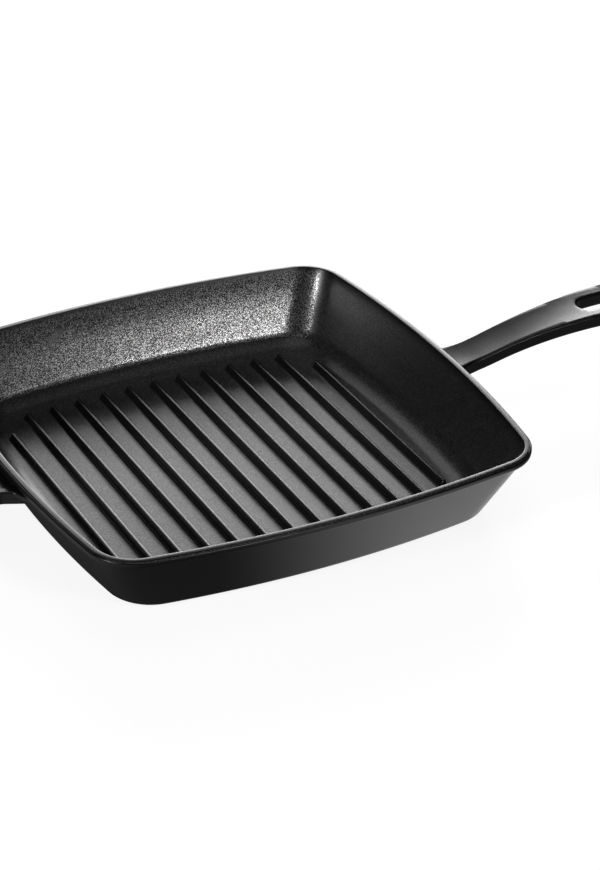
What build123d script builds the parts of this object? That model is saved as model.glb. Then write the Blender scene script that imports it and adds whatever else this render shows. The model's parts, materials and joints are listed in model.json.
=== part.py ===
from build123d import *
import math
import os

# A square cast-iron grill pan, in millimetres.
# The origin is the middle of the flat base, +Z is up, +X runs along the long handle.
# The real pan is one casting. Each solid here is one region of that casting,
# and neighbouring regions meet face to face.

# Rim: a square with bowed sides and round corners, seen from above
rim_width = 300.0
rim_side_radius = 766.0
rim_corner_radius = 31.0
rim_height = 5.0
lip_overhang = 3.2
lip_top_round = 1.3
lip_under_round = 1.9

# Base: the wall's outer face, carried down to the plane that the pan stands on.
# The wall leans outward, so its foot stands in from its top by the lean.
wall_lean = 20.1
base_side_radius = 690.0
base_corner_radius = 28.0
base_edge_round = 8.5

# Heights and walls
pan_height = 48.3
floor_thickness = 3.8
wall_thickness = 3.6
cove_radius = 16.0
floor_plate_inset = 1.0
wall_foot_height = 14.0

# Grill ribs, which run along Y and stand on the floor
rib_count = 13
rib_side_gap = 8.7
rib_height = 4.3
rib_crest_width = 2.3
rib_crest_round = 0.9
rib_draft_angle = 18.0
rib_foot_height = 1.0
rib_foot_round = 1.8
rib_end_gap = 6.7
rib_end_bow_radius = 1000.0
outer_rib_shortening = 17.5

# Long handle, seen from above. Each reach is measured out from the rim's side.
neck_reach = 22.0
neck_width = 25.4
root_flare_radius = 60.0
handle_width = 40.4
handle_reach = 195.0
handle_tip_length = 33.0

# Long handle, seen from the side: the middle of its dished top, and its thickness there
handle_rise = 6.4
handle_thickness = 8.4
level_reach = 119.0
crown_radius = 345.0
swell_reach = 32.0
swell_radius = 180.0
droop_radius = 900.0
handle_dish_radius = 220.0
handle_edge_round = 0.8
handle_under_round = 1.8

# Hanging slot in the long handle
slot_reach = 98.2
slot_start_radius = 8.8
slot_end_margin = 9.4

# Helper handle, on the -X side
helper_reach = 35.0
helper_width = 56.6
helper_corner_radius = 17.0
helper_drop = 8.0
helper_thickness = 8.4
helper_root_reach = 10.0
helper_root_spread = 13.5
helper_root_radius = 8.5
helper_border_width = 4.0
helper_dish_depth = 1.2
helper_dish_round = 0.9
helper_edge_round = 1.1
helper_under_round = 1.5

# Shelf that runs out from the helper handle's root along the wall, under the rim
shelf_reach = 4.6
shelf_length = 31.7
shelf_thickness = 3.6
shelf_under_round = 1.2

# Extra length that carries a cutting shape, or a handle's root, past the faces that it meets
overrun = 5.0
# How closely a corner's place has to agree with a size, for the corner to be picked by it
length_tolerance = 0.05
# A face counts as looking up or down where its normal's upright share is more than this
steepest_top_share = 0.7

# Worked out from the sizes above
lip_underside = pan_height - rim_height
wall_top_width = rim_width - 2 * lip_overhang
base_width = wall_top_width - 2 * wall_lean
wall_draft = math.atan2(wall_lean, lip_underside)
wall_run = wall_thickness / math.cos(wall_draft)
cove_run = cove_radius * math.tan(math.radians(45) - wall_draft / 2)
flat_floor_width = base_width + 2 * wall_lean * floor_thickness / lip_underside - 2 * (wall_run + cove_run)
rib_pitch = (flat_floor_width - 2 * rib_side_gap) / (rib_count - 1)
handle_root_x = base_width / 2
neck_x = rim_width / 2 + neck_reach
handle_tip_x = rim_width / 2 + handle_reach
widest_x = handle_tip_x - handle_tip_length
level_x = rim_width / 2 + level_reach
swell_x = rim_width / 2 + swell_reach
slot_start_x = rim_width / 2 + slot_reach
helper_top = pan_height - helper_drop
helper_tip_x = -rim_width / 2 - helper_reach


def level_size(low, high, height):
    """A size at a height, where it is low at the base plane and high under the lip."""
    return low + (high - low) * height / lip_underside


def bowed_square(width, side_radius, corner_radius, height):
    """A flat square with sides that bow outward and round corners."""
    middle = width / 2
    shift = side_radius - middle
    crossing = (math.sqrt(2 * side_radius**2 - shift**2) - shift) / 2
    side = ThreePointArc((crossing, -crossing), (middle, 0), (crossing, crossing))
    sides = [side.rotate(Axis.Z, 90 * turn) for turn in range(4)]
    square = Face(Wire(sides))
    return Pos(0, 0, height) * fillet(square.vertices(), corner_radius)


def wall_section(height, inset):
    """The outline of the drafted wall at a height, drawn in by an inset."""
    width = level_size(base_width, wall_top_width, height) - 2 * inset
    side_radius = level_size(base_side_radius, rim_side_radius - lip_overhang, height) - inset
    corner_radius = level_size(base_corner_radius, rim_corner_radius - lip_overhang, height) - inset
    return bowed_square(width, side_radius, corner_radius, height)


def flat_face(solid, place):
    """The lowest (0) or the highest (-1) flat face of a solid."""
    return solid.faces().filter_by(GeomType.PLANE).sort_by(Axis.Z)[place]


def make_outside():
    """The filled outside of the pan below its lip, with the rounded base edge."""
    block = loft([wall_section(0, 0), wall_section(lip_underside, 0)], ruled=True)
    return fillet(flat_face(block, 0).edges(), base_edge_round)


def make_cavity():
    """The hollow of the pan, with the cove that runs round its floor."""
    top = pan_height + overrun
    hollow = loft([wall_section(floor_thickness, wall_run), wall_section(top, wall_run)], ruled=True)
    return fillet(flat_face(hollow, 0).edges(), cove_radius)


def make_lip():
    """The filled rim band, which stands a little proud of the wall."""
    section = bowed_square(rim_width, rim_side_radius, rim_corner_radius, lip_underside)
    band = extrude(section, rim_height)
    band = fillet(flat_face(band, 0).edges(), lip_under_round)
    return fillet(flat_face(band, -1).edges(), lip_top_round)


def make_foot_cutter():
    """The slab that parts the wall's foot, with its cove, from the plain wall above it."""
    slab = bowed_square(rim_width, rim_side_radius, rim_corner_radius, -overrun)
    return extrude(slab, wall_foot_height + overrun)


def make_keep_out(outside):
    """The space that the handles stay out of: the pan's outside, and all that is above the lip."""
    above = bowed_square(rim_width, rim_side_radius, rim_corner_radius, lip_underside)
    return outside + extrude(above, pan_height + rim_height)


def make_floor_cutter():
    """The upright prism that parts the flat floor from the wall's foot."""
    width = flat_floor_width - 2 * floor_plate_inset
    section = bowed_square(width, base_side_radius, base_corner_radius - cove_run, -overrun)
    return extrude(section, floor_thickness + 2 * overrun)


def rib_foot_half():
    """Half the width of a rib where it stands on the floor."""
    draft_run = (rib_height - rib_foot_height) * math.tan(math.radians(rib_draft_angle))
    return rib_crest_width / 2 + draft_run + rib_foot_height


def rib_section():
    """The cross-section of a rib, drawn upright in the XZ plane."""
    crest_half = rib_crest_width / 2
    foot_half = rib_foot_half()
    knee_half = foot_half - rib_foot_height
    points = [
        (foot_half, 0),
        (knee_half, rib_foot_height),
        (crest_half, rib_height),
        (-crest_half, rib_height),
        (-knee_half, rib_foot_height),
        (-foot_half, 0),
    ]
    section = make_face(Polyline(*points, close=True))
    corners = section.vertices().group_by(Axis.Y)
    section = fillet(corners[-1], rib_crest_round)
    knees = [v for v in section.vertices() if abs(v.Y - rib_foot_height) < length_tolerance]
    return Plane.XZ * fillet(knees, rib_foot_round)


def make_rib(x, half_length):
    """One rib: a drafted bar with a rounded crest and round ends."""
    section = rib_section()
    straight = half_length - rib_foot_half()
    bar = extrude(section, straight, both=True)
    cap = revolve(split(section, Plane.YZ), Axis.Z, 180)
    far_end = Pos(0, straight, 0) * cap
    near_end = Pos(0, -straight, 0) * cap.rotate(Axis.Z, 180)
    return Pos(x, 0, floor_thickness) * (bar + far_end + near_end)


def make_ribs():
    """All the ribs. They follow the bowed wall, and the two outermost are shorter."""
    ribs = []
    middle = (rib_count - 1) / 2
    for number in range(rib_count):
        x = (number - middle) * rib_pitch
        bow = rib_end_bow_radius - math.sqrt(rib_end_bow_radius**2 - x**2)
        half_length = flat_floor_width / 2 - rib_end_gap - bow
        if number in (0, rib_count - 1):
            half_length = half_length - outer_rib_shortening
        ribs.append(make_rib(x, half_length))
    return ribs


def border_edges(solid, upward):
    """The edges round the faces that look up (1) or down (-1), without the seams between them."""
    faces = [face for face in solid.faces() if face.normal_at().Z * upward > steepest_top_share]
    edges = [edge for face in faces for edge in face.edges()]
    return [edge for edge in edges if edges.count(edge) == 1]


def handle_bar():
    """The bar that the long handle is cut from: a dished section led along the handle's rise."""
    crown_turn = math.asin((level_x - swell_x) / crown_radius)
    root_turn = math.asin(math.sin(crown_turn) - (swell_x - handle_root_x) / swell_radius)
    droop_turn = math.asin((handle_tip_x + overrun - level_x) / droop_radius)
    start = (level_x, pan_height + handle_rise)
    crown = JernArc(start, (-1, 0), crown_radius, math.degrees(crown_turn))
    swell = JernArc(crown @ 1, crown % 1, swell_radius, math.degrees(root_turn - crown_turn))
    droop = JernArc(start, (1, 0), droop_radius, -math.degrees(droop_turn))
    path = Plane.XZ * Wire([droop, crown, swell])
    half = handle_width / 2 + overrun
    dish = handle_dish_radius - math.sqrt(handle_dish_radius**2 - half**2)
    top = ThreePointArc((-half, dish), (0, 0), (half, dish))
    base = -handle_thickness
    rest = Polyline((half, dish), (half, base), (-half, base), (-half, dish))
    section = make_face([top, rest])
    place = Plane(origin=path @ 0, x_dir=(0, 1, 0), z_dir=path % 0)
    return sweep(place * section, path)


def handle_plan():
    """The long handle's outline from above, as an upright prism."""
    neck = (neck_x, neck_width / 2)
    widest = (widest_x, handle_width / 2)
    third = (widest_x - neck_x) / 3
    tip_radius = handle_width / 2
    flare_turn = math.asin((neck_x - handle_root_x) / root_flare_radius)
    flare = JernArc(neck, (-1, 0), root_flare_radius, -math.degrees(flare_turn))
    belly = Bezier(neck, (neck_x + third, neck[1]), (widest_x - third, widest[1]), widest)
    side = Line(widest, (handle_tip_x - tip_radius, tip_radius))
    tip = JernArc(side @ 1, (1, 0), tip_radius, -90)
    root = Line(flare @ 1, (handle_root_x, 0))
    half_outline = Curve() + [root, flare, belly, side, tip]
    outline = half_outline + mirror(half_outline, Plane.XZ)
    return extrude(make_face(outline.edges()), pan_height + rim_width, both=True)


def slot_prism():
    """The hanging slot, wider towards the handle's tip, as an upright prism."""
    end_radius = handle_width / 2 - slot_end_margin
    first_x = slot_start_x + slot_start_radius
    last_x = handle_tip_x - slot_end_margin - end_radius
    lean = math.asin((end_radius - slot_start_radius) / (last_x - first_x))
    first = (first_x - slot_start_radius * math.sin(lean), slot_start_radius * math.cos(lean))
    last = (last_x - end_radius * math.sin(lean), end_radius * math.cos(lean))
    start_arc = ThreePointArc((first[0], -first[1]), (slot_start_x, 0), first)
    far_side = Line(first, last)
    end_arc = ThreePointArc(last, (last_x + end_radius, 0), (last[0], -last[1]))
    near_side = Line(end_arc @ 1, start_arc @ 0)
    outline = make_face([start_arc, far_side, end_arc, near_side])
    return extrude(outline, pan_height + rim_width, both=True)


def make_long_handle(keep_out):
    """The long handle with its slot and rounded edges, cut to meet the pan's wall."""
    handle = (handle_bar() & handle_plan()) - slot_prism()
    over = [edge for edge in border_edges(handle, 1) if edge.center().X > handle_root_x + overrun]
    handle = fillet(over, handle_edge_round)
    under = [edge for edge in border_edges(handle, -1) if edge.center().X > handle_root_x + overrun]
    handle = fillet(under, handle_under_round)
    return handle - keep_out


def helper_plan(root_reach, root_points):
    """The helper handle's outline from above, ending in the given points along the pan's wall."""
    half = helper_width / 2
    root_x = -wall_top_width / 2 - root_reach
    right = [(helper_tip_x, half), (root_x, half)] + root_points
    left = [(x, -y) for x, y in reversed(right)]
    outline = make_face(Polyline(*right, *left, close=True))
    outline = fillet(outline.vertices().group_by(Axis.X)[0], helper_corner_radius)
    roots = [v for v in outline.vertices() if abs(v.X - root_x) < length_tolerance]
    return fillet(roots, helper_root_radius)


def helper_plate(plan, thickness, under_round):
    """A plate under the rim with the given outline and rounded edges."""
    body = Pos(0, 0, helper_top - thickness) * extrude(plan, thickness)
    over = [edge for edge in border_edges(body, 1) if edge.center().X < -wall_top_width / 2]
    body = fillet(over, helper_edge_round)
    under = [edge for edge in border_edges(body, -1) if edge.center().X < -wall_top_width / 2]
    return fillet(under, under_round)


def make_helper_dish():
    """The shallow dish that is sunk into the helper handle's top, inside a raised border."""
    dish_length = helper_reach + lip_overhang - helper_border_width
    dish_width = helper_width - 2 * helper_border_width
    plan = Rectangle(dish_length, dish_width)
    plan = fillet(plan.vertices().group_by(Axis.X)[0], helper_corner_radius - helper_border_width)
    dish_x = helper_tip_x + helper_border_width + dish_length / 2
    dish = Pos(dish_x, 0, helper_top - helper_dish_depth) * extrude(plan, helper_thickness)
    return fillet(flat_face(dish, 0).edges(), helper_dish_round)


def make_helper_handle(keep_out):
    """The short helper handle: a broad tab, and a thinner shelf that runs out along the wall."""
    half = helper_width / 2
    inner_x = -base_width / 2
    shelf_x = -(wall_top_width + base_width) / 4
    shelf_y = half + shelf_length
    tab_plan = helper_plan(helper_root_reach, [(inner_x, half + helper_root_spread)])
    shelf_plan = helper_plan(shelf_reach, [(shelf_x, shelf_y), (inner_x, shelf_y)])
    tab = helper_plate(tab_plan, helper_thickness, helper_under_round)
    shelf = helper_plate(shelf_plan, shelf_thickness, shelf_under_round)
    return tab + shelf - make_helper_dish() - keep_out


if __name__ == "__main__":
    os.makedirs("parts", exist_ok=True)
    outside = make_outside()
    cavity = make_cavity()
    lip = make_lip()
    floor_cutter = make_floor_cutter()
    foot_cutter = make_foot_cutter()
    shell = outside - cavity
    keep_out = make_keep_out(outside)
    pieces = {
        "rim": lip - cavity,
        "side_wall": shell - foot_cutter,
        "wall_foot": (shell & foot_cutter) - floor_cutter,
        "pan_floor": shell & floor_cutter,
        "long_handle": make_long_handle(keep_out),
        "helper_handle": make_helper_handle(keep_out),
    }
    for number, rib in enumerate(make_ribs(), start=1):
        pieces[f"grill_rib_{number:02d}"] = rib
    for name, solid in pieces.items():
        export_step(solid, f"parts/{name}.step")
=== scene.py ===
# %% [markdown]
# # A square cast-iron grill pan
# The pan is one iron casting under a coat of matt black enamel. Its CAD model is loaded first, because its
# size and place are the frame that every piece of this scene is fitted to. All lengths here are in metres.

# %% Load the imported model
import json
import math
import bmesh
import bpy
from mathutils import Matrix, Vector

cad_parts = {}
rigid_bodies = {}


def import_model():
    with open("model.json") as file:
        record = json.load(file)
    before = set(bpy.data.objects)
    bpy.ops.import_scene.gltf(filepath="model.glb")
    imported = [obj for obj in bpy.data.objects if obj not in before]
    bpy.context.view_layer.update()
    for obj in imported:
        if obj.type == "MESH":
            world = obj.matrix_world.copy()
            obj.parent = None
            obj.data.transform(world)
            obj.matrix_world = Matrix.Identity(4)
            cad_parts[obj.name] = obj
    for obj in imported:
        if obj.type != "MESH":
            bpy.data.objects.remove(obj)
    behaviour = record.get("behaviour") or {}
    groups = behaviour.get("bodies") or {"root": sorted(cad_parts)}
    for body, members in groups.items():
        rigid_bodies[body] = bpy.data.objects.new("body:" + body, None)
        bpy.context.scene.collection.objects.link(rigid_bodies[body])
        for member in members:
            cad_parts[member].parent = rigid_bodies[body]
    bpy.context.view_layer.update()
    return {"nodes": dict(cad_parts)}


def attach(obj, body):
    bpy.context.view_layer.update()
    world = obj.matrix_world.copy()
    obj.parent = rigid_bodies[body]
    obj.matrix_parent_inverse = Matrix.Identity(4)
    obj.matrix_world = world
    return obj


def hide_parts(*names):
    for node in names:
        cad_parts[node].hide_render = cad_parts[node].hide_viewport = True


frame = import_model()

MM = 0.001
for leftover in [thing for thing in bpy.data.objects if thing.name in ("Cube", "Light", "Camera")]:
    bpy.data.objects.remove(leftover)
print("nodes in the frame:", len(frame["nodes"]))

# %% [markdown]
# Blender's modelling operators act on what is selected, and loading has left the CAD model selected. So each
# piece starts from a clean state: everything deselected, one new mesh active and in edit mode.

# %% Helpers for modelling with operators
TINY = 0.00002


def start_piece(name):
    """An empty mesh object at the origin, active and in edit mode."""
    bpy.ops.object.select_all(action="DESELECT")
    bpy.ops.mesh.primitive_plane_add(size=1, location=(0, 0, 0))
    piece = bpy.context.object
    piece.name = piece.data.name = name
    bpy.ops.object.mode_set(mode="EDIT")
    bpy.ops.mesh.select_mode(type="VERT")
    bpy.ops.mesh.select_all(action="SELECT")
    bpy.ops.mesh.delete(type="VERT")
    return piece


def edit_mesh():
    """The mesh that is being edited."""
    return bmesh.from_edit_mesh(bpy.context.object.data)


def select_where(test, kind="verts"):
    """Select just the vertices, edges or faces that pass a test."""
    bpy.ops.mesh.select_all(action="DESELECT")
    bpy.ops.mesh.select_mode(type={"verts": "VERT", "edges": "EDGE", "faces": "FACE"}[kind])
    mesh = edit_mesh()
    for part in getattr(mesh, kind):
        if test(part):
            part.select_set(True)
    mesh.select_flush_mode()
    bmesh.update_edit_mesh(bpy.context.object.data)


def spin_round(centre, angle, steps, axis=(0, 0, 1)):
    """Spin the selection by the right-hand rule. The operator itself turns the other way."""
    bpy.ops.mesh.spin(steps=steps, angle=-angle, center=centre, axis=axis)


def finish_piece(smooth_angle):
    """Merge doubles, turn faces outwards, and smooth the edges that turn by less than an angle in degrees."""
    bpy.ops.mesh.select_all(action="SELECT")
    bpy.ops.mesh.remove_doubles(threshold=TINY)
    bpy.ops.mesh.normals_make_consistent(inside=False)
    bpy.ops.object.mode_set(mode="OBJECT")
    bpy.ops.object.shade_smooth_by_angle(angle=math.radians(smooth_angle))
    piece = bpy.context.object
    piece.vertex_groups.clear()
    print(piece.name, "faces:", len(piece.data.polygons))
    return piece


# %% [markdown]
# ## The pan
# Seen from above, the pan is a square whose sides bow out a little and whose corners are round. Such an
# outline is eight arcs. Each arc is a vertex spun about its centre, and the next arc starts where the last one
# ended. One outline is drawn for each height where the wall changes, and the outlines are then bridged one to
# the next. Bridging can't tell which way round two outlines at one height go, so level faces get a slope too
# small to see. A cube with bevelled corners would be quicker, but its sides would be straight.

# %% Sizes of the pan
RIM_HALF = 150 * MM
RIM_SIDE_RADIUS = 766 * MM
RIM_CORNER_RADIUS = 31 * MM
RIM_HEIGHT = 5 * MM
LIP_OVERHANG = 3.2 * MM
WALL_LEAN = 20.1 * MM
BASE_SIDE_RADIUS = 690 * MM
BASE_CORNER_RADIUS = 28 * MM
BASE_EDGE_ROUND = 8.5 * MM
PAN_HEIGHT = 48.3 * MM
FLOOR_HEIGHT = 3.8 * MM
WALL_THICKNESS = 3.6 * MM
COVE_RADIUS = 16 * MM

LIP_HEIGHT = PAN_HEIGHT - RIM_HEIGHT
WALL_HALF = RIM_HALF - LIP_OVERHANG
BASE_HALF = WALL_HALF - WALL_LEAN
DRAFT = math.atan2(WALL_LEAN, LIP_HEIGHT)
WALL_RUN = WALL_THICKNESS / math.cos(DRAFT)
print(f"wall draft: {math.degrees(DRAFT):.1f} degrees")


# %% Outlines of the pan
def wall_outline(height, inset=0.0):
    """Half width, side radius and corner radius of the leaning wall at a height."""
    share = height / LIP_HEIGHT
    half = BASE_HALF + WALL_LEAN * share - inset
    side = BASE_SIDE_RADIUS + (RIM_SIDE_RADIUS - LIP_OVERHANG - BASE_SIDE_RADIUS) * share - inset
    corner = BASE_CORNER_RADIUS + (RIM_CORNER_RADIUS - LIP_OVERHANG - BASE_CORNER_RADIUS) * share - inset
    return half, side, corner, height


def rim_outline(height, inset=0.0):
    """Half width, side radius and corner radius of the rim band, drawn in by an inset."""
    return RIM_HALF - inset, RIM_SIDE_RADIUS - inset, RIM_CORNER_RADIUS - inset, height


# %% Draw one outline as eight spun arcs
SIDE_STEPS = 28
CORNER_STEPS = 14
FULL_WEIGHT = 0.99


def corner_centre(half, side, corner):
    """Where the centre of a round corner lies, along x and along y alike."""
    shift = side - half
    reach = side - corner
    return (math.sqrt(2 * reach**2 - shift**2) - shift) / 2


def draw_outline(outline, ring):
    """Spin a closed bowed square of vertices, and remember it as a vertex group."""
    half, side, corner, height = outline
    c = corner_centre(half, side, corner)
    lean = math.atan2(c, side - half + c)
    touch = Vector((half - side + side * math.cos(lean), -side * math.sin(lean), height))
    bpy.ops.mesh.select_all(action="DESELECT")
    mesh = edit_mesh()
    mesh.verts.new(touch).select_set(True)
    bmesh.update_edit_mesh(bpy.context.object.data)
    for turn in range(4):
        facing = Vector((math.cos(math.pi / 2 * turn), math.sin(math.pi / 2 * turn), 0))
        across = Vector((-facing.y, facing.x, 0))
        up = Vector((0, 0, height))
        for centre, angle, steps in (
            (facing * (half - side) + up, 2 * lean, SIDE_STEPS),
            ((facing + across) * c + up, math.pi / 2 - 2 * lean, CORNER_STEPS),
        ):
            spin_round(centre, angle, steps)
    keep_ring(ring)


def keep_ring(ring):
    """Close the outline that was just drawn and put it into a vertex group."""
    piece = bpy.context.object
    others = {group.index for group in piece.vertex_groups}
    layer = edit_mesh().verts.layers.deform.verify()
    select_where(lambda v: not (set(v[layer].keys()) & others))
    bpy.ops.mesh.remove_doubles(threshold=TINY)
    piece.vertex_groups.new(name=ring)
    piece.vertex_groups.active_index = len(piece.vertex_groups) - 1
    bpy.ops.object.vertex_group_assign()


def select_rings(*rings):
    """Select the vertices and edges of the named outlines, which carry their group's full weight."""
    groups = bpy.context.object.vertex_groups
    wanted = [groups[ring].index for ring in rings]
    layer = edit_mesh().verts.layers.deform.verify()
    select_where(lambda v: any(v[layer].get(index, 0) > FULL_WEIGHT for index in wanted))


# %% Draw the outlines from the base up, over the rim and down inside
# The shoulder round the rim's top edge
STEP_HEIGHT = 0.8 * MM
STEP_WIDTH = 1.3 * MM
# How far a level face falls, so that bridging can tell its two outlines apart
SLOPE = 0.06 * MM
RIM_CROWN = 0.04 * MM
RIM_TOP_WIDTH = RIM_HALF - STEP_WIDTH - WALL_HALF - WALL_LEAN * RIM_HEIGHT / LIP_HEIGHT + WALL_RUN
# The inside of the wall is hollow by this much, halfway between the rim and its low end
WALL_HOLLOW = 1.1 * MM
HOLLOW_STEPS = 5
HOLLOW_LOW = 14.0 * MM


def inside_rings():
    """Outlines down the inside of the wall, which is a little hollow between the rim and the cove."""
    rings = {}
    for step in range(1, HOLLOW_STEPS + 1):
        share = step / (HOLLOW_STEPS + 1)
        height = PAN_HEIGHT + (HOLLOW_LOW - PAN_HEIGHT) * share
        hollow = WALL_HOLLOW * 4 * share * (1 - share)
        rings[f"inside {step}"] = wall_outline(height, WALL_RUN - hollow)
    return rings


pan_rings = {
    "base": wall_outline(0),
    "wall top": wall_outline(LIP_HEIGHT + SLOPE),
    "lip under": rim_outline(LIP_HEIGHT),
    "lip side": rim_outline(PAN_HEIGHT - STEP_HEIGHT - SLOPE),
    "step": rim_outline(PAN_HEIGHT - STEP_HEIGHT, STEP_WIDTH),
    "rim top": rim_outline(PAN_HEIGHT - RIM_CROWN, STEP_WIDTH),
    "rim crown": rim_outline(PAN_HEIGHT, STEP_WIDTH + RIM_TOP_WIDTH / 2),
    "rim inside": wall_outline(PAN_HEIGHT - RIM_CROWN, WALL_RUN),
    **inside_rings(),
    "floor": wall_outline(FLOOR_HEIGHT, WALL_RUN),
}
pan_body = start_piece("pan_body")
for ring, outline in pan_rings.items():
    draw_outline(outline, ring)
print("vertices drawn:", len(edit_mesh().verts))

# %% Bridge them and close the floor and the base
ring_names = list(pan_rings)
for lower, upper in zip(ring_names, ring_names[1:]):
    select_rings(lower, upper)
    bpy.ops.mesh.bridge_edge_loops()
for flat in ("base", "floor"):
    select_rings(flat)
    bpy.ops.mesh.edge_face_add()
bpy.ops.mesh.select_all(action="SELECT")
bpy.ops.mesh.normals_make_consistent(inside=False)
print("faces:", len(edit_mesh().faces))

# %% [markdown]
# The casting has no sharp edge. A bevel of many segments on one outline gives the cove between floor and wall,
# and the rounds of the base and of the rim. A bevel's offset runs along the faces, so a radius is turned into
# one by the angle between them.

# %% Round the pan's edges
def round_ring(ring, radius, turn, segments):
    """Bevel one outline. The turn is how far the surface turns there, in radians."""
    select_rings(ring)
    offset = radius * math.tan(turn / 2)
    bpy.ops.mesh.bevel(offset=offset, offset_type="OFFSET", segments=segments, profile=0.5, affect="EDGES")


QUARTER_TURN = math.pi / 2
PAN_SMOOTH_ANGLE = 28
# Each outline's radius, how far the surface turns there, and its segments, in the order they are cut
PAN_ROUNDS = {
    "floor": (COVE_RADIUS, QUARTER_TURN - DRAFT, 14),
    "base": (BASE_EDGE_ROUND, QUARTER_TURN - DRAFT, 10),
    "lip under": (1.7 * MM, QUARTER_TURN, 5),
    "rim top": (0.25 * MM, QUARTER_TURN, 3),
    "rim inside": (0.35 * MM, QUARTER_TURN + DRAFT, 4),
    "lip side": (1.0 * MM, QUARTER_TURN, 6),
}
for ring, (radius, turn, segments) in PAN_ROUNDS.items():
    round_ring(ring, radius, turn, segments)
pan_body = finish_piece(PAN_SMOOTH_ANGLE)
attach(pan_body, "root")
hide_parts("rim", "side_wall", "wall_foot", "pan_floor")

# %% [markdown]
# ## The grill ribs
# A rib has a rounded crest, leaning flanks and a soft foot, and its ends are round. Half of its profile is spun
# about an upright axis to make the round end, the end is drawn out along the rib, and a mirror makes the rest.

# %% Sizes of the ribs
RIB_COUNT = 13
RIB_PITCH = 17.6 * MM
RIB_FOOT_HALF = 3.22 * MM
RIB_BOW_RADIUS = 1000 * MM
RIB_LONGEST_HALF = 107.58 * MM
OUTER_RIB_SHORTER = 17.5 * MM
# From the crest's middle to the foot, in millimetres: distance out and height
RIB_PROFILE = [
    (0.0, 4.30), (0.35, 4.29), (0.68, 4.22), (0.98, 4.08), (1.20, 3.88), (1.36, 3.62),
    (1.72, 2.50), (2.02, 1.60), (2.16, 1.20), (2.34, 0.82), (2.58, 0.48), (2.88, 0.18), (3.22, 0.0),
]
RIB_END_STEPS = 16
RIB_SMOOTH_ANGLE = 40


# %% Where each rib lies
def rib_half_length(number):
    """Half the length of a rib: shorter towards the sides, and shortest at the two outermost."""
    out = (number - (RIB_COUNT - 1) / 2) * RIB_PITCH
    bow = RIB_BOW_RADIUS - math.sqrt(RIB_BOW_RADIUS**2 - out**2)
    outermost = number in (0, RIB_COUNT - 1)
    return RIB_LONGEST_HALF - bow - OUTER_RIB_SHORTER * outermost


END_CENTRE = RIB_LONGEST_HALF - RIB_FOOT_HALF
print("rib lengths in mm:", [round(2000 * rib_half_length(number)) for number in range(RIB_COUNT)])

# %% Model the middle rib
middle_rib = start_piece("middle_rib")
mesh = edit_mesh()
line = [mesh.verts.new((out * MM, END_CENTRE, FLOOR_HEIGHT + up * MM)) for out, up in RIB_PROFILE]
for first, second in zip(line, line[1:]):
    mesh.edges.new((first, second))
bmesh.update_edit_mesh(middle_rib.data)
bpy.ops.mesh.select_all(action="SELECT")
spin_round((0, END_CENTRE, 0), math.pi, RIB_END_STEPS)
bpy.ops.mesh.select_all(action="SELECT")
bpy.ops.mesh.remove_doubles(threshold=TINY)
select_where(lambda e: all(abs(v.co.y - END_CENTRE) < TINY for v in e.verts), "edges")
bpy.ops.mesh.extrude_region_move(TRANSFORM_OT_translate={"value": (0, -END_CENTRE, 0)})
bpy.ops.object.mode_set(mode="OBJECT")
mirror = middle_rib.modifiers.new("other end", "MIRROR")
mirror.use_axis = (False, True, False)
mirror.merge_threshold = TINY
bpy.ops.object.modifier_apply(modifier=mirror.name)
bpy.ops.object.mode_set(mode="EDIT")
select_where(lambda e: e.is_boundary, "edges")
bpy.ops.mesh.edge_face_add()
middle_rib = finish_piece(RIB_SMOOTH_ANGLE)


# %% Copy it to each place
def copy_rib(number):
    """A copy of the middle rib with its own mesh, moved across the floor and shortened at both ends."""
    bpy.ops.object.select_all(action="DESELECT")
    middle_rib.select_set(True)
    bpy.context.view_layer.objects.active = middle_rib
    bpy.ops.object.duplicate()
    rib = bpy.context.object
    rib.name = rib.data.name = f"grill_rib_{number + 1:02d}_enamel"
    bpy.ops.object.mode_set(mode="EDIT")
    for end in (1, -1):
        select_where(lambda v: v.co.y * end > MM)
        bpy.ops.transform.translate(value=(0, end * (rib_half_length(number) - RIB_LONGEST_HALF), 0))
    bpy.ops.mesh.select_all(action="SELECT")
    bpy.ops.transform.translate(value=((number - (RIB_COUNT - 1) / 2) * RIB_PITCH, 0, 0))
    bpy.ops.object.mode_set(mode="OBJECT")
    return rib


ribs = [copy_rib(number) for number in range(RIB_COUNT)]
bpy.data.objects.remove(middle_rib)
for number, rib in enumerate(ribs):
    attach(rib, "root")
    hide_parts(f"grill_rib_{number + 1:02d}")
print("ribs:", len(ribs), "highest point:", max(v.co.z for v in ribs[0].data.vertices))

# %% [markdown]
# ## The long handle
# The handle is first modelled lying flat. Its outline and its slot are Bezier loops, drawn at each height where
# the side changes and bridged one to the next, and its top and underside are filled. Bisecting cuts it into a
# grid, so that a lattice round it can lift it to its real rise and give the top its shallow dish.

# %% Sizes of the long handle
ROOT_TOP_X = 143.4 * MM
ROOT_UNDER_X = 138.4 * MM
NECK_X = 172 * MM
NECK_HALF = 12.7 * MM
FLARE_RADIUS = 60 * MM
WIDEST_X = 312 * MM
HANDLE_HALF = 20.2 * MM
HANDLE_TIP_X = 345 * MM
HANDLE_THICKNESS = 8.4 * MM
HANDLE_TOP = PAN_HEIGHT + 6.4 * MM
LEVEL_X = 269 * MM
CROWN_RADIUS = 345 * MM
SWELL_X = 182 * MM
SWELL_RADIUS = 180 * MM
DROOP_RADIUS = 900 * MM
DISH_RADIUS = 220 * MM
SLOT_START_X = 250.2 * MM
SLOT_START_RADIUS = 8.1 * MM
SLOT_END_RADIUS = 10.1 * MM
SLOT_TO_TIP = 9.4 * MM
SLOT_END_X = HANDLE_TIP_X - SLOT_TO_TIP
HANDLE_STEP_HEIGHT = 1.0 * MM
HANDLE_STEP_WIDTH = 1.3 * MM


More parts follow.
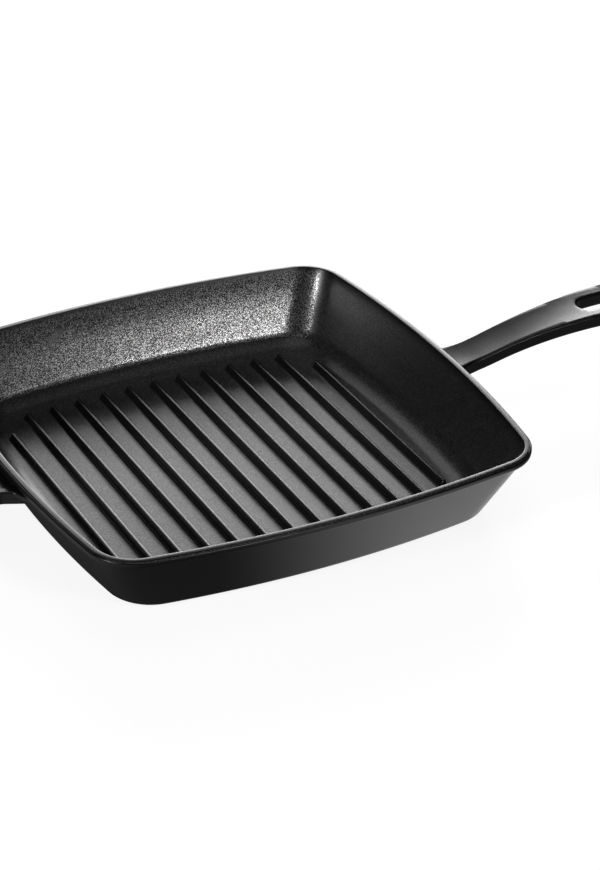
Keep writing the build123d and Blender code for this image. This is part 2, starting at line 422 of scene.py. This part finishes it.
# %% Bezier loops
def arc_handle(radius, angle):
    """How long a Bezier handle is at each end of an arc."""
    return radius * 4 / 3 * math.tan(angle / 4)


def draw_bezier_ring(piece, knots, height, ring, steps=16):
    """Add a closed Bezier loop to a piece as a ring of vertices. A knot is a place and two handles."""
    bpy.ops.object.mode_set(mode="OBJECT")
    bpy.ops.object.select_all(action="DESELECT")
    bpy.ops.curve.primitive_bezier_circle_add(radius=1, location=(0, 0, 0))
    loop = bpy.context.object
    spline = loop.data.splines[0]
    spline.bezier_points.add(len(knots) - len(spline.bezier_points))
    spline.resolution_u = steps
    for point, (place, before, after) in zip(spline.bezier_points, knots):
        point.handle_left_type = point.handle_right_type = "FREE"
        point.co = (*place, height)
        point.handle_left = (*before, height)
        point.handle_right = (*after, height)
    bpy.ops.object.convert(target="MESH")
    loop.select_set(True)
    piece.select_set(True)
    bpy.context.view_layer.objects.active = piece
    bpy.ops.object.join()
    bpy.ops.object.mode_set(mode="EDIT")
    keep_ring(ring)


def mirror_knots(upper):
    """Knots on one side of the x axis, joined to their mirror images in order."""
    lower = [tuple((x, -y) for x, y in (place, after, before)) for place, before, after in reversed(upper)]
    return upper + lower


def along(start, end, share=1 / 3):
    """A point part of the way from one point to another."""
    return tuple(a + (b - a) * share for a, b in zip(start, end))


# %% The handle's outline
def handle_knots(inset, root_x):
    """The outline from above, drawn in by an inset, from the tip round to the root and back."""
    radius = HANDLE_HALF - inset
    bend = arc_handle(radius, math.pi / 2)
    tip = (HANDLE_TIP_X - inset, 0)
    shoulder = (HANDLE_TIP_X - HANDLE_HALF, radius)
    widest = (WIDEST_X, radius)
    neck = (NECK_X, NECK_HALF - inset)
    third = (WIDEST_X - NECK_X) / 3
    flare_radius = FLARE_RADIUS + inset
    turn = math.asin((NECK_X - root_x) / flare_radius)
    flare = arc_handle(flare_radius, turn)
    root = (root_x, neck[1] + flare_radius * (1 - math.cos(turn)))
    root_handle = (root[0] + flare * math.cos(turn), root[1] - flare * math.sin(turn))
    upper = [
        (shoulder, (shoulder[0] + bend, radius), along(shoulder, widest)),
        (widest, along(widest, shoulder), (widest[0] - third, widest[1])),
        (neck, (neck[0] + third, neck[1]), (neck[0] - flare, neck[1])),
        (root, root_handle, (root[0], root[1] / 3)),
    ]
    return [(tip, (tip[0], -bend), (tip[0], bend))] + mirror_knots(upper)


# %% The slot's outline
def slot_knots():
    """The slot from above: a round end, two long sides and a smaller round end."""
    last_x = SLOT_END_X - SLOT_END_RADIUS
    first_x = SLOT_START_X + SLOT_START_RADIUS
    turn = math.pi / 3
    bend = arc_handle(SLOT_END_RADIUS, math.pi / 2)
    short = arc_handle(SLOT_START_RADIUS, turn)
    last = (last_x, SLOT_END_RADIUS)
    first = (first_x, SLOT_START_RADIUS)
    middle = along(last, first, 0.5)
    side = (first_x - SLOT_START_RADIUS * math.sin(turn), SLOT_START_RADIUS * math.cos(turn))
    before = (side[0] + short * math.cos(turn), side[1] + short * math.sin(turn))
    after = (side[0] - short * math.cos(turn), side[1] - short * math.sin(turn))
    upper = [
        (last, (last[0] + bend, last[1]), along(last, middle)),
        (middle, along(middle, last), along(middle, first)),
        (first, along(first, middle), (first[0] - short, first[1])),
        (side, before, after),
    ]
    tip = (SLOT_END_X, 0)
    return [(tip, (tip[0], -bend), (tip[0], bend))] + mirror_knots(upper)


# %% Model the flat handle
LEVEL_FACING = 0.999
FLAT_ANGLE = 0.001
# Each outline's radius and segments, in the order they are cut
HANDLE_ROUNDS = {
    "top edge": (0.3 * MM, 3),
    "side top": (0.5 * MM, 5),
    "under edge": (1.8 * MM, 5),
    "slot top": (1.4 * MM, 5),
    "slot under": (0.4 * MM, 2),
}
long_handle = start_piece("long_handle_enamel")
handle_rings = {
    "top edge": (handle_knots(HANDLE_STEP_WIDTH, ROOT_TOP_X), 0),
    "step": (handle_knots(HANDLE_STEP_WIDTH, ROOT_TOP_X), -HANDLE_STEP_HEIGHT),
    "side top": (handle_knots(0, ROOT_TOP_X), -HANDLE_STEP_HEIGHT - SLOPE),
    "under edge": (handle_knots(0, ROOT_UNDER_X), -HANDLE_THICKNESS),
    "slot top": (slot_knots(), 0),
    "slot under": (slot_knots(), -HANDLE_THICKNESS),
}
for ring, (knots, height) in handle_rings.items():
    draw_bezier_ring(long_handle, knots, height, ring)
for upper, lower in (
    ("top edge", "step"),
    ("step", "side top"),
    ("side top", "under edge"),
    ("slot top", "slot under"),
):
    select_rings(upper, lower)
    bpy.ops.mesh.bridge_edge_loops()
for outside, inside in (("top edge", "slot top"), ("under edge", "slot under")):
    select_rings(outside, inside)
    bpy.ops.mesh.fill(use_beauty=True)
bpy.ops.mesh.select_all(action="SELECT")
bpy.ops.mesh.normals_make_consistent(inside=False)
select_where(lambda f: abs(f.normal.z) > LEVEL_FACING and len(f.verts) == 3, "faces")
bpy.ops.mesh.dissolve_limited(angle_limit=FLAT_ANGLE)
for ring, (radius, segments) in HANDLE_ROUNDS.items():
    round_ring(ring, radius, QUARTER_TURN, segments)
print("faces before the cuts:", len(edit_mesh().faces))


# %% Cut the flat handle into a grid that can bend
def cut_across(axis, places):
    """Bisect the whole piece at each place along an axis."""
    for place in places:
        point = [0, 0, 0]
        normal = [0, 0, 0]
        point[axis], normal[axis] = place, 1
        bpy.ops.mesh.select_all(action="SELECT")
        bpy.ops.mesh.bisect(plane_co=point, plane_no=normal)


CUT_STEP = 3.1 * MM
CUTS_EACH_SIDE = 7
HANDLE_SMOOTH_ANGLE = 30
cuts_along = int((HANDLE_TIP_X - ROOT_UNDER_X) / CUT_STEP)
cut_across(0, [ROOT_UNDER_X + CUT_STEP * n for n in range(1, cuts_along)])
cut_across(1, [CUT_STEP * (n + 0.5) for n in range(-CUTS_EACH_SIDE, CUTS_EACH_SIDE)])
long_handle = finish_piece(HANDLE_SMOOTH_ANGLE)


# %% Lift the handle with a lattice
def rise(x):
    """Height of the middle of the handle's top above its level part, and its slope, at a place along it."""
    out = x - LEVEL_X
    if out > 0:
        return math.sqrt(DROOP_RADIUS**2 - out**2) - DROOP_RADIUS, -out / DROOP_RADIUS
    if x > SWELL_X:
        return math.sqrt(CROWN_RADIUS**2 - out**2) - CROWN_RADIUS, -out / CROWN_RADIUS
    turn = math.asin((LEVEL_X - SWELL_X) / CROWN_RADIUS)
    swell_turn = math.asin(math.sin(turn) - (SWELL_X - x) / SWELL_RADIUS)
    fall = SWELL_RADIUS * (math.cos(swell_turn) - math.cos(turn))
    return CROWN_RADIUS * (math.cos(turn) - 1) - fall, math.sin(swell_turn)


LATTICE_POINTS = (64, 13, 2)
PAST_ENDS = 1 * MM
PAST_SIDES = 3 * MM
lattice_low = Vector((ROOT_UNDER_X - PAST_ENDS, -HANDLE_HALF - PAST_SIDES, -HANDLE_THICKNESS))
lattice_high = Vector((HANDLE_TIP_X + PAST_ENDS, HANDLE_HALF + PAST_SIDES, 0))
bpy.ops.object.add(type="LATTICE", location=(lattice_low + lattice_high) / 2)
cage = bpy.context.object
cage.scale = lattice_high - lattice_low
cage.data.points_u, cage.data.points_v, cage.data.points_w = LATTICE_POINTS
for letter in "uvw":
    setattr(cage.data, f"interpolation_type_{letter}", "KEY_LINEAR")
for point in cage.data.points:
    place = cage.location + Vector(a * b for a, b in zip(point.co, cage.scale))
    lift, slope = rise(place.x)
    if place.z < -HANDLE_THICKNESS / 2:
        height = lift - HANDLE_THICKNESS / math.cos(math.asin(slope))
    else:
        height = lift + DISH_RADIUS - math.sqrt(DISH_RADIUS**2 - place.y**2)
    point.co_deform.z = (HANDLE_TOP + height - cage.location.z) / cage.scale.z
bend = long_handle.modifiers.new("lift", "LATTICE")
bend.object = cage
bpy.context.view_layer.objects.active = long_handle
bpy.ops.object.modifier_apply(modifier=bend.name)
bpy.data.objects.remove(cage)
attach(long_handle, "root")
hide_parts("long_handle")
print("handle top:", max(v.co.z for v in long_handle.data.vertices))

# %% [markdown]
# ## Enamel
# Shader maths reads best as Python. This small class holds a socket, and an expression on it adds Math nodes.

# %% Shader maths
class Paint:
    """A shader socket that takes part in Python expressions, with numbers and with other sockets."""

    def __init__(self, tree, socket):
        self.tree, self.socket = tree, socket

    def node(self, kind, settings=None, out=0, **values):
        """Add a node. Settings are set first, then its sockets by name or number (as _0, _1)."""
        node = self.tree.nodes.new(kind)
        for name, value in (settings or {}).items():
            setattr(node, name, value)
        for name, value in values.items():
            key = int(name[1:]) if name[0] == "_" else name.replace("_", " ")
            if isinstance(value, Paint):
                self.tree.links.new(value.socket, node.inputs[key])
            else:
                node.inputs[key].default_value = value
        return Paint(self.tree, node.outputs[out])

    def math(self, operation, first, second=0.0):
        """A Math node on two values."""
        return self.node("ShaderNodeMath", {"operation": operation}, _0=first, _1=second)

    def __add__(self, other):
        return self.math("ADD", self, other)

    def __sub__(self, other):
        return self.math("SUBTRACT", self, other)

    def __rsub__(self, other):
        return self.math("SUBTRACT", other, self)

    def __mul__(self, other):
        return self.math("MULTIPLY", self, other)

    __radd__, __rmul__ = __add__, __mul__

    def ramp(self, low, high):
        """0 below low, 1 above high, and smooth between."""
        settings = {"interpolation_type": "SMOOTHSTEP"}
        return self.node("ShaderNodeMapRange", settings, Value=self, From_Min=low, From_Max=high)


# %% [markdown]
# The enamel is a thin satin glass over cast iron. Inside the walls it keeps the sand's grain, which glints
# where light meets it. It has flowed nearly smooth on the floor, and the outside has none of the grain, only
# fine relief, slow waves and small specks. The inner wall by the long handle has the same grain, but its mark
# is kept weak, so that its grey metallic glints stay dim: that is painted shade, which keeps that wall dark.
# The grain could be a second material, but that would start along a hard line of faces. So its strength is a
# number on each vertex, which fades from one to the next.

# %% Mark the grainy walls
GRAIN_LOW = 9.0 * MM
GRAIN_HIGH = PAN_HEIGHT - 0.6 * MM
FLOOR_GRAIN = 0.12
# Painted shade: the wall by the long handle is marked with weak grain, so that its glints stay dim and it stays
# dark
HANDLE_WALL_SHADE_GRAIN = 0.1
# How far a normal points up on the floor, and along x on the wall that faces the helper handle
FACES_UP = 0.99
FACES_HELPER = -0.8


def grain_at(place, normal):
    """How strong the grain is at a point of the pan: 1 on the inner walls, and 0 outside."""
    level_normal = Vector(normal.xy).normalized()
    inside = level_normal.dot(place.xy) < 0 or normal.z > FACES_UP
    if not inside or place.z >= GRAIN_HIGH:
        return 0.0
    if place.z < GRAIN_LOW:
        return FLOOR_GRAIN
    # Painted shade: weak grain and glints on the wall by the long handle keep it dark
    return HANDLE_WALL_SHADE_GRAIN if level_normal.x < FACES_HELPER else 1.0


grain_mark = pan_body.data.attributes.new("grain", "FLOAT", "POINT")
for vertex, mark in zip(pan_body.data.vertices, grain_mark.data):
    mark.value = grain_at(vertex.co, vertex.normal)
print("grainy vertices:", sum(mark.value > 0 for mark in grain_mark.data))


# %% Helpers for materials
def start_material(name):
    """A material, its tree, its shader and its Object coordinates to build with."""
    material = bpy.data.materials.new(name)
    material.use_nodes = True
    tree = material.node_tree
    shader = tree.nodes["Principled BSDF"]
    coords = Paint(tree, tree.nodes.new("ShaderNodeTexCoord").outputs["Object"])
    return material, tree, shader, coords


def noise(coords, size, detail=2.0, roughness=0.5):
    """Noise from 0 to 1 whose blotches are about a size across."""
    values = {"Scale": 1 / size, "Detail": detail, "Roughness": roughness}
    return coords.node("ShaderNodeTexNoise", Vector=coords, **values)


def link(tree, paint, shader, name):
    """Feed one socket of the shader."""
    tree.links.new(paint.socket, shader.inputs[name])


# %% Enamel of the pan
GRAIN_SIZE = 1.1 * MM
GRAIN_DEPTH = 0.04 * MM
FINE_SIZE = 0.5 * MM
FINE_DEPTH = 0.006 * MM
WAVE_SIZE = 9 * MM
WAVE_DEPTH = 0.02 * MM
SPECK_SIZE = 3.2 * MM
SPECK_EDGE = 0.12
SPECK_HEIGHT = 0.03 * MM
GLINT_SIZE = 0.6 * MM
# Where in the noise a glint begins and where it is full
GLINT_SHARE = (0.49, 0.62)
ENAMEL_BLACK = (0.004, 0.004, 0.0042, 1)
GLINT_GREY = (0.6, 0.6, 0.6, 1)
ENAMEL_IOR = 1.5
BODY_ROUGHNESS = 0.26
BODY_BLOTCH_SIZE = 14 * MM
BLOTCH_ROUGHNESS = 0.06
GRAIN_ROUGHNESS = -0.01

body_enamel, tree, shader, coords = start_material("body_enamel")
grainy = coords.node("ShaderNodeAttribute", {"attribute_name": "grain"}, out=2)
grain = noise(coords, GRAIN_SIZE, roughness=0.6) * grainy * GRAIN_DEPTH
fine = noise(coords, FINE_SIZE, detail=1.0) * FINE_DEPTH
waves = noise(coords, WAVE_SIZE, detail=1.0) * WAVE_DEPTH
dots = coords.node("ShaderNodeTexVoronoi", Vector=coords, Scale=1 / SPECK_SIZE, Randomness=1.0)
specks = dots.ramp(0.0, SPECK_EDGE) * -SPECK_HEIGHT
bump = coords.node("ShaderNodeBump", Strength=1.0, Distance=1.0, Height=grain + fine + waves + specks)
link(tree, bump, shader, "Normal")
shader.inputs["IOR"].default_value = ENAMEL_IOR
glints = noise(coords, GLINT_SIZE, detail=1.0).ramp(*GLINT_SHARE) * grainy
tint = coords.node("ShaderNodeMix", {"data_type": "RGBA"}, out=2, _0=glints, _6=ENAMEL_BLACK, _7=GLINT_GREY)
link(tree, tint, shader, "Base Color")
link(tree, glints, shader, "Metallic")
blotches = noise(coords, BODY_BLOTCH_SIZE, detail=3.0) * BLOTCH_ROUGHNESS
link(tree, blotches + grainy * GRAIN_ROUGHNESS + BODY_ROUGHNESS, shader, "Roughness")
print("body enamel nodes:", len(tree.nodes))

# %% [markdown]
# The ribs and both handles are smoother than the walls and differ only in how deep their fine relief is and
# how dark and rough they are. So one function makes both enamels. The helper handle's CAD solid already has
# the right shape, so it stays and only gets this finish.

# %% Enamel of the ribs and the handles
SMOOTH_BLOTCH_SIZE = 11 * MM
COOLER = 1.04


def make_smooth_enamel(name, black, depth, roughness):
    """Satin enamel with a fine even grain and slow waves, near black and a little cooler than grey."""
    material, tree, shader, coords = start_material(name)
    relief = noise(coords, FINE_SIZE) * depth + noise(coords, WAVE_SIZE, detail=1.0) * WAVE_DEPTH
    bump = coords.node("ShaderNodeBump", Strength=1.0, Distance=1.0, Height=relief)
    link(tree, bump, shader, "Normal")
    shader.inputs["Base Color"].default_value = (black, black, black * COOLER, 1)
    shader.inputs["IOR"].default_value = ENAMEL_IOR
    blotches = noise(coords, SMOOTH_BLOTCH_SIZE, detail=3.0) * BLOTCH_ROUGHNESS
    link(tree, blotches + (roughness - BLOTCH_ROUGHNESS / 2), shader, "Roughness")
    return material


rib_enamel = make_smooth_enamel("rib_enamel", black=0.008, depth=0.004 * MM, roughness=0.24)
handle_enamel = make_smooth_enamel("handle_enamel", black=0.009, depth=0.006 * MM, roughness=0.23)


def coat(piece, material):
    """Give a piece one material."""
    piece.data.materials.clear()
    piece.data.materials.append(material)


coat(pan_body, body_enamel)
coat(long_handle, handle_enamel)
for rib in ribs:
    coat(rib, rib_enamel)
coat(frame["nodes"]["helper_handle"], handle_enamel)
print("materials:", [material.name for material in bpy.data.materials if material.users])

# %% [markdown]
# ## Studio
# The enamel is black, so what shows in it is mostly the mirror images of lamps, and each lamp stands where such
# an image is wanted. The floor is a middle grey, and its material adds a white glow that only some rays see:
# camera and transmission rays see it everywhere. A mirrored ray sees it all over one part of the floor and
# weakly at the left, so that the pan's outer wall runs from dark to light. That pattern is a painted reflection
# of light and shade: the glow stands in for the lit floor and for the pan's shadow on it.

# %% Floor
FLOOR_SIZE = 12
FLOOR_GREY = (0.3, 0.3, 0.3, 1)
FLOOR_ROUGHNESS = 0.9
WHITE = (1, 1, 1, 1)
GLOW = 0.87
# Along x, for mirrored rays: where the glow rises, where it ends and over what length it fades there
GLOW_RISES = (-0.07, 0.09)
GLOW_END = 0.19
GLOW_FADE = 0.04
# The weak glow beyond a place on the left
LEFT_GLOW = 0.25
LEFT_GLOW_END = -0.13
LEFT_GLOW_FADE = 0.06

bpy.ops.mesh.primitive_plane_add(size=FLOOR_SIZE, location=(0, 0, 0))
floor = bpy.context.object
floor.name = "floor"
floor_paint, tree, shader, coords = start_material("floor_paint")
shader.inputs["Base Color"].default_value = FLOOR_GREY
shader.inputs["Roughness"].default_value = FLOOR_ROUGHNESS
glow = coords.node("ShaderNodeEmission", Color=WHITE, Strength=GLOW)
rays = tree.nodes.new("ShaderNodeLightPath")
add = tree.nodes.new("ShaderNodeAddShader")
mix = tree.nodes.new("ShaderNodeMixShader")
tree.links.new(shader.outputs[0], add.inputs[0])
tree.links.new(glow.socket, add.inputs[1])
camera_ray, glossy_ray, transmission_ray = (
    Paint(tree, rays.outputs[f"Is {kind} Ray"]) for kind in ("Camera", "Glossy", "Transmission"))
across = coords.node("ShaderNodeSeparateXYZ", _0=coords)
# Painted reflection: the glow's pattern along x paints the pan's outer wall from dark at the left to light
main_glow = across.ramp(*GLOW_RISES) * (GLOW_END - across).ramp(0.0, GLOW_FADE)
painted_reflection = main_glow + (LEFT_GLOW_END - across).ramp(0.0, LEFT_GLOW_FADE) * LEFT_GLOW
tree.links.new((camera_ray + transmission_ray + glossy_ray * painted_reflection).socket, mix.inputs["Fac"])
tree.links.new(shader.outputs[0], mix.inputs[1])
tree.links.new(add.outputs[0], mix.inputs[2])
tree.links.new(mix.outputs[0], tree.nodes["Material Output"].inputs["Surface"])
coat(floor, floor_paint)
print("floor nodes:", len(tree.nodes))

# %% [markdown]
# Four panels stand behind the pan, one above the other or beside it, for the rim, the rib crests, the long
# handle and the floor between the ribs. One in front lights the far wall, one at the left the far corner, and a
# weak one hangs overhead. Panels of even brightness are chosen over small lamps, because their mirror images
# are broad and soft.

# %% Lamps
LAMP_DISTANCE = 2.6
WORLD_STRENGTH = 0.005
# Name, bearing and elevation in degrees, width and height in metres, and radiance
PANELS = [
    ("low back panel", (31, 15.5), (1.1, 0.7), 9.6),
    ("middle back panel", (30, 28), (1.1, 0.36), 4.6),
    ("side back panel", (8, 23), (0.6, 0.55), 6.0),
    ("high back panel", (6, 36), (1.1, 0.36), 2.4),
    ("front panel", (163, 33), (0.5, 0.5), 14.5),
    ("left panel", (-104, 22), (0.42, 0.64), 26.0),
    ("top panel", (0, 85), (1.9, 1.9), 0.6),
]


def panel(name, towards, size, radiance):
    """A soft rectangular lamp facing the pan. Its bearing runs clockwise from +Y."""
    bearing, elevation = (math.radians(angle) for angle in towards)
    level = math.cos(elevation)
    way = Vector((math.sin(bearing) * level, math.cos(bearing) * level, math.sin(elevation)))
    lamp = bpy.data.lights.new(name, "AREA")
    lamp.shape = "RECTANGLE"
    lamp.size, lamp.size_y = size
    lamp.energy = radiance * math.pi * size[0] * size[1]
    holder = bpy.data.objects.new(name, lamp)
    holder.location = way * LAMP_DISTANCE
    holder.rotation_euler = way.to_track_quat("Z", "Y").to_euler()
    bpy.context.scene.collection.objects.link(holder)


for settings in PANELS:
    panel(*settings)
world = bpy.data.worlds.new("studio")
bpy.context.scene.world = world
world.use_nodes = True
background = world.node_tree.nodes["Background"]
background.inputs["Color"].default_value = WHITE
background.inputs["Strength"].default_value = WORLD_STRENGTH
print("lamps:", len(PANELS))

# %% [markdown]
# A camera could be placed by eye, but then each length seen in it would be off. So this one was worked out from
# where the rim, the ribs and the base lie in the photograph: how far it is, how it is turned and how long its
# lens is.

# %% Camera
FOCAL_PIXELS = 2654.06
FRAME_HEIGHT_PIXELS = 870
SENSOR_HEIGHT = 36.0
CAMERA_PLACE = (-0.613581, -1.239870, 0.841658)
camera_data = bpy.data.cameras.new("camera")
camera_data.sensor_fit = "VERTICAL"
camera_data.sensor_height = SENSOR_HEIGHT
camera_data.lens = FOCAL_PIXELS / FRAME_HEIGHT_PIXELS * camera_data.sensor_height
camera = bpy.data.objects.new("camera", camera_data)
bpy.context.scene.collection.objects.link(camera)
right = Vector((0.8863511160, -0.4626550320, 0.0182214286))
up = Vector((0.2216404751, 0.4585117132, 0.8606058963))
back = Vector((-0.4065183869, -0.7587603905, 0.5089454498))
camera.matrix_world = Matrix((right, up, back)).transposed().to_4x4()
camera.location = CAMERA_PLACE
bpy.context.scene.camera = camera
bpy.context.scene.view_settings.view_transform = "Standard"
print(f"lens: {camera_data.lens:.1f} mm")
